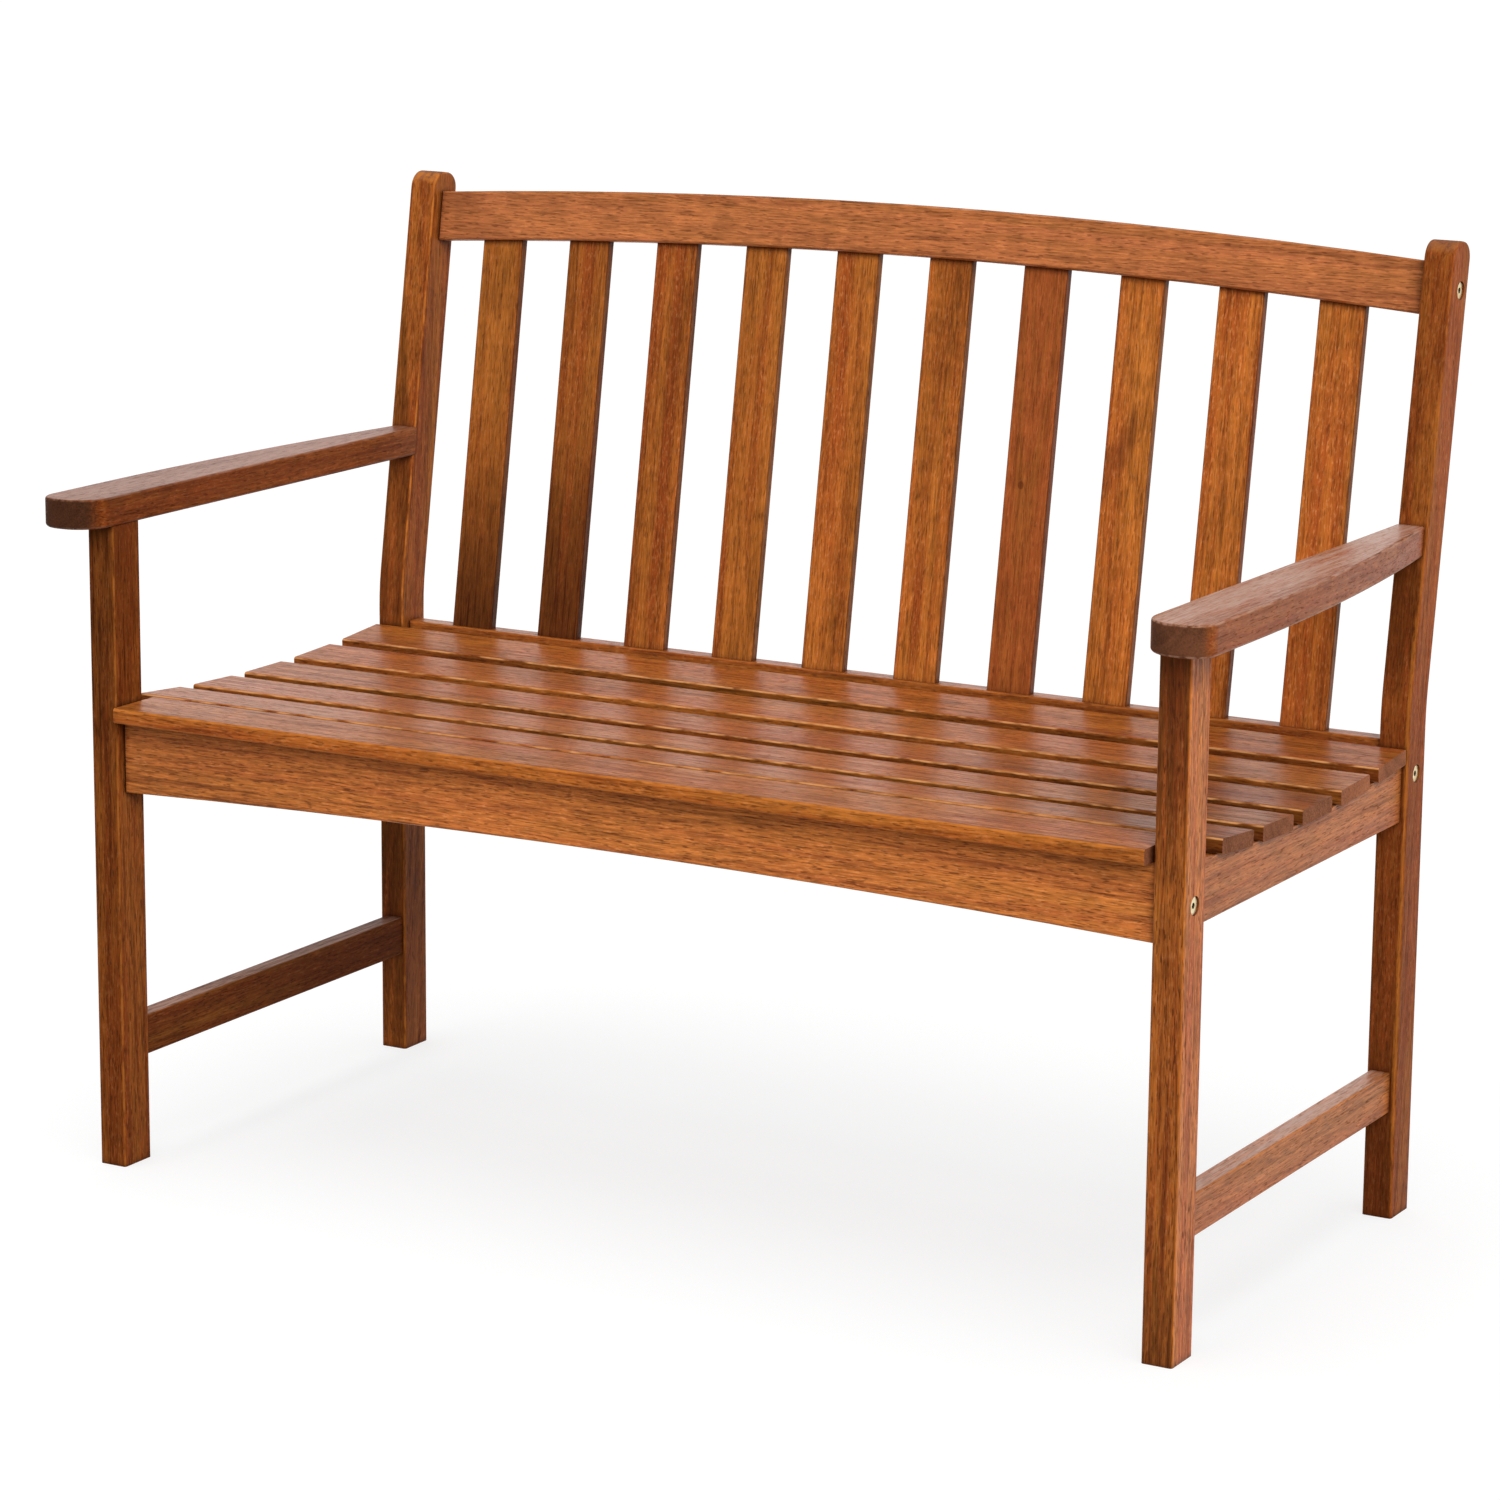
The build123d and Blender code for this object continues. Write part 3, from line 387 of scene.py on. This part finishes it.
def patched(graph, colour, patch, look, grain):
    """The colour with one patch of another on the board's main faces."""
    skewed = graph.total(-patch.along, (grain.along, 1.0), (grain.across, patch.slope), clamp=False)
    along = graph.math("MULTIPLY", skewed, 1.0 / patch.length)
    across = graph.total(-patch.across / patch.width, (grain.across, 1.0 / patch.width), clamp=False)
    along_square = graph.math("MULTIPLY", along, along)
    across_square = graph.math("MULTIPLY", across, across)
    far = graph.math("ADD", along_square, across_square)
    far = graph.total(far, (grain.layers, PATCH_LAYERS), (grain.ribbons, PATCH_RIBBONS),
                      (grain.streaks, PATCH_STREAKS), clamp=False)
    near = graph.spread(far, PATCH_RANGE, 0.0, patch.strength)
    near = graph.math("MULTIPLY", near, graph.spread(grain.facing_flat, MAIN_FACE_RANGE))
    return graph.mix(near, colour, rgba(patch.colour, look.brightness))


def weathered_and_painted_light(graph, colour, look, grain):
    """The colour with bleached tops and painted sheen, painted light and shade and other tones on
    sides, other tones on ends, worn edges with painted highlights, and painted shade in corners.
    """
    # Faces that look up are paler: bleaching by the sun, and painted sheen
    if look.bleach_and_sheen:
        bleach_and_sheen_breakup = graph.total(1.0, (grain.blotches, BLEACH_AND_SHEEN_BLOTCHES), (grain.streaks, BLEACH_AND_SHEEN_STREAKS),
                           (grain.fibres, BLEACH_AND_SHEEN_FIBRES), clamp=False)
        facing_up = graph.spread(graph.split(grain.normal)[2], UP_FACE_RANGE, 0.0, look.bleach_and_sheen)
        bleached_and_sheen = graph.math("MULTIPLY", facing_up, bleach_and_sheen_breakup, clamp=True)
        colour = graph.mix(bleached_and_sheen, colour, rgba(BLEACHED_AND_SHEEN))
    # Narrow faces lighter or darker: painted light and shade, such as shade in the gaps between slats,
    # and stain tone
    if look.side_tone != 1.0:
        side_light_and_tone = graph.spread(grain.facing_side, NARROW_FACE_RANGE, 1.0, look.side_tone)
        colour = graph.shade(colour, side_light_and_tone)
    end_colour = graph.shade(rgba(END_GRAIN, look.end_tone), grain.shade)
    colour = graph.mix(grain.end, colour, end_colour)

    facing_side = grain.facing_side
    if look.round_ends:
        side_square = graph.math("MULTIPLY", grain.facing_side, grain.facing_side)
        end_square = graph.math("MULTIPLY", grain.facing_end, grain.facing_end)
        facing_side = graph.math("SQRT", graph.math("ADD", side_square, end_square))
    squareness = graph.math("MAXIMUM", facing_side, grain.facing_flat)
    squareness = graph.math("MAXIMUM", squareness, grain.facing_end)
    edge = graph.spread(squareness, EDGE_RANGE)
    # Worn edges, also painted highlights, and painted shade where the edge colour is dark
    edge_noise = graph.spread(graph.noise(grain.seeded, EDGE_NOISE), EDGE_NOISE_RANGE)
    edge = graph.math("MULTIPLY", edge, graph.math("MULTIPLY", edge_noise, look.edge_wear_and_light))
    colour = graph.mix(edge, colour, rgba(look.edge_colour, look.brightness))

    # Painted shade, darker where little open air reaches: in corners and between pieces, with some
    # gathered stain
    open_air = graph.add("ShaderNodeAmbientOcclusion", {"Distance": CORNER_REACH}, "AO",
                         samples=CORNER_SAMPLES)
    corner_shade_and_dirt = graph.spread(open_air, CORNER_RANGE, 0.0, CORNER_SHADE_AND_DIRT)
    return graph.mix(corner_shade_and_dirt, colour, rgba(DARK, look.brightness))


def wood(name, look, middle):
    """Solid wood cut from a log, stained, varnished and used out of doors."""
    graph = Graph(bpy.data.materials.new(name))
    grain = Grain(graph, look, middle)
    colour = stain_and_dark_end(graph, look, grain)
    for patch in look.patches:
        colour = patched(graph, colour, patch, look, grain)
    colour = graph.shade(colour, grain.shade)
    pore_depth = graph.math("MULTIPLY", grain.pores, PORE_DARKNESS * look.contrast, clamp=True)
    colour = graph.mix(pore_depth, colour, rgba(DARK, look.brightness))
    colour = weathered_and_painted_light(graph, colour, look, grain)

    rough = graph.total(look.roughness, (grain.pores, PORE_ROUGHNESS),
                        (grain.streaks, STREAK_ROUGHNESS), (grain.end, END_ROUGHNESS))
    height = graph.total(0.0, (grain.pores, PORE_HEIGHT), (grain.fibres, FIBRE_HEIGHT), clamp=False)
    inputs = {"Height": height, "Strength": GRAIN_RELIEF, "Distance": GRAIN_DEPTH}
    bump = graph.add("ShaderNodeBump", inputs)
    inputs = {"Base Color": colour, "Roughness": rough, "Normal": bump}
    inputs.update({"IOR": look.ior, "Specular Tint": rgba(VARNISH_TINT)})
    return graph.finish(graph.add("ShaderNodeBsdfPrincipled", inputs))


def metal(name, light, dark, roughness, face=None):
    """Plated metal, dulled in spots, with fine turning marks.

    face is how far out the bolts' heads reach along the bench; what lies deeper is painted dark, as
    shade in the sockets.
    """
    graph = Graph(bpy.data.materials.new(name))
    coords = graph.add("ShaderNodeTexCoord", {}, "Object")
    spots = graph.spread(graph.noise(coords, SPOTS), SPOT_RANGE)
    marks = graph.noise(coords, MARKS)
    colour = graph.mix(spots, rgba(light), rgba(dark))
    if face:
        # Painted shade: the hex sockets and rims below the heads' faces are dark
        reach = graph.math("ABSOLUTE", graph.split(coords)[0])
        socket_shade = graph.spread(reach, (face - SOCKET_SHADE_DEPTH, face - SOCKET_SHADE_DEPTH / 3), 1.0, 0.0)
        colour = graph.mix(socket_shade, colour, rgba(SOCKET_SHADE))
    rough = graph.total(roughness, (spots, SPOT_ROUGHNESS))
    inputs = {"Height": marks, "Strength": MARK_RELIEF, "Distance": MARK_DEPTH}
    bump = graph.add("ShaderNodeBump", inputs)
    inputs = {"Base Color": colour, "Metallic": 1.0, "Roughness": rough, "Normal": bump}
    return graph.finish(graph.add("ShaderNodeBsdfPrincipled", inputs))


def paint(node, material):
    """The material on the whole of a CAD node."""
    mesh = NODES[node].data
    mesh.materials.clear()
    mesh.materials.append(material)


def middle_of(node):
    low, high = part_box(node)
    return (low + high) / 2


# Boards in the frame: the columns are the grain, across the main face, and through the board
SEAT_BOARD = Matrix.Identity(3)
ARM_BOARD = Matrix.Rotation(math.pi / 2, 3, "Z")
APRON_BOARD = Matrix.Rotation(math.pi / 2, 3, "X")
SIDE_BOARD = Matrix(((0, 0, 1), (1, 0, 0), (0, 1, 0)))
LEG_BOARD = Matrix(((0, 1, 0), (0, 0, 1), (1, 0, 0)))
BACK_LEG_BOARD = Matrix.Rotation(-LEG_RAKE, 3, "X") @ LEG_BOARD
BACK_SLAT_BOARD = Matrix.Rotation(-BACK_RAKE, 3, "X") @ LEG_BOARD
BACK_RAIL_BOARD = Matrix.Rotation(-BACK_RAKE, 3, "X") @ APRON_BOARD

# A patch this wide covers a leg from side to side
WHOLE_LEG = 0.2

# How each piece of wood looks, before the rows of slats
LOOKS = {
    "front_leg_left": Look(
        # Partly painted shade: a low brightness for light that fades towards the left, and darker
        # towards the top, under the arm
        LEG_BOARD, seed=1, tone=0.80, brightness=0.54, ior=1.10, contrast=1.1, edge_wear_and_light=0.9,
        side_tone=1.32, dark_end=DarkEnd(0.0, 0.2, strength=0.38)),
    "front_leg_right": Look(
        LEG_BOARD, seed=2, tone=0.60, brightness=0.82, contrast=1.3, ior=1.36, edge_wear_and_light=0.3,
        side_tone=1.60, patches=(
            # The first patch darkens the top: painted shade under the arm
            Patch(DARK, along=0.31, across=0.0, length=0.20, width=WHOLE_LEG, strength=0.70),
            Patch(DARK, along=-0.30, across=-0.004, length=0.09, width=0.03, strength=0.45))),
    "rear_leg_left": Look(
        BACK_LEG_BOARD, seed=3, tone=0.62, brightness=0.94, ior=1.20, edge_wear_and_light=0.8, side_tone=0.78,
        patches=(
            Patch(DARK, along=-0.12, across=0.0, length=0.45, width=WHOLE_LEG, strength=0.62),)),
    "rear_leg_right": Look(
        BACK_LEG_BOARD, seed=4, tone=0.85, brightness=0.78, ior=1.12, contrast=0.9, side_tone=1.3,
        dark_end=DarkEnd(0.16, -0.10, strength=0.28), patches=(
            # The first patch is painted shade just below the arm
            Patch(DARK, along=0.11, across=0.0, length=0.075, width=WHOLE_LEG, strength=0.60),
            Patch(DARK, along=-0.44, across=0.0, length=0.22, width=WHOLE_LEG, strength=0.55),
            Patch(GOLD, along=-0.1, across=0.0135, length=0.45, width=0.004, strength=0.75))),
    "armrest_left": Look(
        # Its low brightness is partly painted shade, for light that fades towards the left
        ARM_BOARD, seed=5, tone=1.00, brightness=0.61, ior=1.24, bleach_and_sheen=0.21, round_ends=True,
        end_tone=0.24, edge_wear_and_light=0.5, edge_colour=CHIPPED_EDGE),
    "armrest_right": Look(
        ARM_BOARD, seed=6, tone=0.90, brightness=0.98, ior=1.34, contrast=0.75, bleach_and_sheen=0.45,
        side_tone=0.90, round_ends=True, end_tone=0.48, edge_wear_and_light=0.8, edge_colour=CHIPPED_EDGE),
    "side_seat_rail_left": Look(SIDE_BOARD, seed=7, tone=0.70),
    "side_seat_rail_right": Look(SIDE_BOARD, seed=8, tone=0.50, pale=0.2),
    "side_stretcher_left": Look(
        # Its low brightness is painted shade: the stretcher lies in the seat's shadow
        SIDE_BOARD, seed=9, tone=0.85, brightness=0.44, ior=1.10, bleach_and_sheen=0.32),
    "side_stretcher_right": Look(SIDE_BOARD, seed=10, tone=0.55, pale=0.2, bleach_and_sheen=0.5),
    "front_apron": Look(
        APRON_BOARD, seed=11, tone=0.40, brightness=1.21, pale=0.20, contrast=1.2, figure=0.7,
        flecks=0.36, dark_end=DarkEnd(-0.12, -0.48, strength=0.25)),
    "lower_back_rail": Look(BACK_RAIL_BOARD, seed=12, tone=0.65, brightness=0.82),
    "crest_rail": Look(
        BACK_RAIL_BOARD, seed=13, tone=0.60, brightness=1.05, pale=0.60, lean=(0.03, 0.01),
        mottle=0.2, patches=(
            Patch(DARK, along=-0.50, across=0.0, length=0.05, width=0.06, strength=0.30, slope=1.3),)),
    "seat_bearer": Look(SIDE_BOARD, seed=14, tone=0.60),
    "rail_dowels": Look(SEAT_BOARD, seed=60, tone=0.0, brightness=1.6, roughness=0.6),
    "seat_dowels": Look(SEAT_BOARD, seed=61, tone=0.0, brightness=1.6, roughness=0.6),
}

# The back slats, from left to right, brighter to the right: partly painted light, fading towards the
# left
BACK_SLAT_SEED = 20
BACK_SLAT = Look(
    BACK_SLAT_BOARD, seed=BACK_SLAT_SEED, tone=0.50, ior=1.26, contrast=0.9, figure=1.4, mottle=0.18,
    # Dark edges: painted shade on the slats' rounded edges
    flecks=0.40, edge_colour=DARK, edge_wear_and_light=0.55, side_tone=0.45)
SLAT_KNOT = Patch(KNOT, along=-0.005, across=-0.006, length=0.004, width=0.003, strength=0.7)
SLAT_FLAME = Patch(
    KNOT, along=0.045, across=-0.010, length=0.035, width=0.024, strength=0.65, slope=-1.6)
BACK_SLATS = (
    {"tone": 0.40, "brightness": 0.79, "dark_end": DarkEnd(0.02, -0.20, strength=0.80)},
    {"tone": 0.55, "brightness": 0.76, "dark_end": DarkEnd(0.05, -0.18, strength=0.75)},
    {"tone": 0.75, "brightness": 0.87},
    {"tone": 0.30, "brightness": 0.84},
    {"tone": 0.50, "brightness": 1.02},
    {"tone": 0.50, "brightness": 1.02, "mottle": 0.25},
    {"tone": 1.00, "brightness": 0.98, "pale": 0.12, "pith": (0.0, 0.014), "lean": (0.0, 0.06),
     "rings": 1.4, "figure": 0.6, "contrast": 0.7, "flecks": 0.15, "ring": 0.006,
     "patches": (SLAT_KNOT,)},
    {"tone": 0.40, "brightness": 1.18, "lean": (0.02, 0.01), "patches": (SLAT_FLAME,)},
    {"tone": 0.65, "brightness": 1.16},
    {"tone": 0.55, "brightness": 1.18},
)
for number, look in enumerate(BACK_SLATS, 1):
    LOOKS[f"back_slat_{number:02d}"] = replace(BACK_SLAT, seed=BACK_SLAT_SEED + number, **look)

# The seat slats, from front to back. All but the front one are painted darker near the right arm, as
# the arm's shade
SEAT_SLAT_SEED = 40
SHADED_START = 0.36
SHADED_END = 0.50
FRONT_SLAT = Look(
    SEAT_BOARD, seed=SEAT_SLAT_SEED + 1, tone=0.50, brightness=1.03, roughness=0.34, ior=1.17,
    contrast=1.1, edge_wear_and_light=0.9, side_tone=0.96)
LOOKS["seat_slat_1"] = FRONT_SLAT
SeatSlat = namedtuple("SeatSlat", "tone end_tone side_tone shaded")
SEAT_SLATS = (
    SeatSlat(tone=0.55, end_tone=0.8, side_tone=0.5, shaded=0.42),
    SeatSlat(tone=0.50, end_tone=1.0, side_tone=0.5, shaded=0.36),
    SeatSlat(tone=0.62, end_tone=1.05, side_tone=0.45, shaded=0.32),
    SeatSlat(tone=0.55, end_tone=1.35, side_tone=0.65, shaded=0.15),
    SeatSlat(tone=0.60, end_tone=1.1, side_tone=0.5, shaded=0.12),
)
for number, slat in enumerate(SEAT_SLATS, 2):
    LOOKS[f"seat_slat_{number}"] = replace(
        FRONT_SLAT, seed=SEAT_SLAT_SEED + number, tone=slat.tone, end_tone=slat.end_tone,
        side_tone=slat.side_tone, edge_colour=BARE_AND_LIT_EDGE,
        dark_end=DarkEnd(SHADED_START, SHADED_END, slat.shaded))

for node, look in LOOKS.items():
    paint(node, wood(f"wood_{node}", look, middle_of(node)))
head_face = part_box("frame_bolts")[1].x
paint("frame_bolts", metal("brass_bolts", BRASS, DULL_BRASS, BRASS_ROUGHNESS, head_face))
paint("barrel_nuts", metal("zinc_nuts", ZINC, DULL_ZINC, ZINC_ROUGHNESS))

# Floor, which the camera sees as white with the bench's shadow
bpy.ops.mesh.primitive_plane_add(size=2 * FLOOR_REACH, location=(0, 0, CAD_BOX[0].z))
floor = bpy.context.object
floor.name = "floor"
floor_graph = Graph(bpy.data.materials.new("floor_white"))
plain = floor_graph.add("ShaderNodeBsdfDiffuse", {"Color": rgba(FLOOR_COLOUR)})
shaded = floor_graph.add("ShaderNodeBsdfDiffuse", {"Color": rgba(FLOOR_SEEN_COLOUR)})
glow = floor_graph.add("ShaderNodeEmission", {"Strength": FLOOR_SEEN_LIFT})
white = floor_graph.add("ShaderNodeAddShader", {0: shaded, 1: glow})
floor_shader = floor_graph.add("ShaderNodeMixShader", {0: floor_graph.seen(), 1: plain, 2: white})
floor.data.materials.append(floor_graph.finish(floor_shader))

# Surroundings, which the camera sees as white
world_graph = Graph(bpy.data.worlds.new("studio"))
strength = world_graph.spread(world_graph.seen(), (0.0, 1.0), WORLD_LIGHT, WORLD_SEEN)
background = world_graph.add("ShaderNodeBackground", {"Color": rgba(WHITE), "Strength": strength})
bpy.context.scene.world = world_graph.finish(background, "ShaderNodeOutputWorld")


def wide_light(name, aim, power, spread):
    """A wide soft light from far off, the same all over the floor."""
    data = bpy.data.lights.new(name, "SUN")
    data.energy = power
    data.angle = spread
    lamp = bpy.data.objects.new(name, data)
    bpy.context.scene.collection.objects.link(lamp)
    lamp.rotation_euler = Vector(aim).to_track_quat("-Z", "Y").to_euler()
    return lamp


def light_floor(lamp, state):
    """The lamp lights the floor alone, with INCLUDE, or all but the floor, with EXCLUDE."""
    receivers = bpy.data.collections.new(f"{lamp.name}_receivers")
    receivers.objects.link(floor)
    receivers.collection_objects[0].light_linking.link_state = state
    lamp.light_linking.receiver_collection = receivers


# The key lights the bench, and a soft overhead light gives the floor its shadow under the bench
key = wide_light("key_light", KEY_AIM, KEY_POWER, KEY_SPREAD)
light_floor(key, "EXCLUDE")
overhead = wide_light("overhead_light", OVERHEAD_AIM, OVERHEAD_POWER, OVERHEAD_SPREAD)
light_floor(overhead, "INCLUDE")
wide_light("fill_light", FILL_AIM, FILL_POWER, FILL_SPREAD)

camera_data = bpy.data.cameras.new("camera")
camera_data.sensor_width = CAMERA_SENSOR
camera_data.lens = CAMERA_LENS
camera_data.clip_end = CAMERA_REACH
camera = bpy.data.objects.new("camera", camera_data)
bpy.context.scene.collection.objects.link(camera)
camera.location = CAMERA_PLACE
camera.rotation_euler = [math.radians(angle) for angle in CAMERA_TURN]
bpy.context.scene.camera = camera
bpy.context.scene.view_settings.view_transform = "Standard"
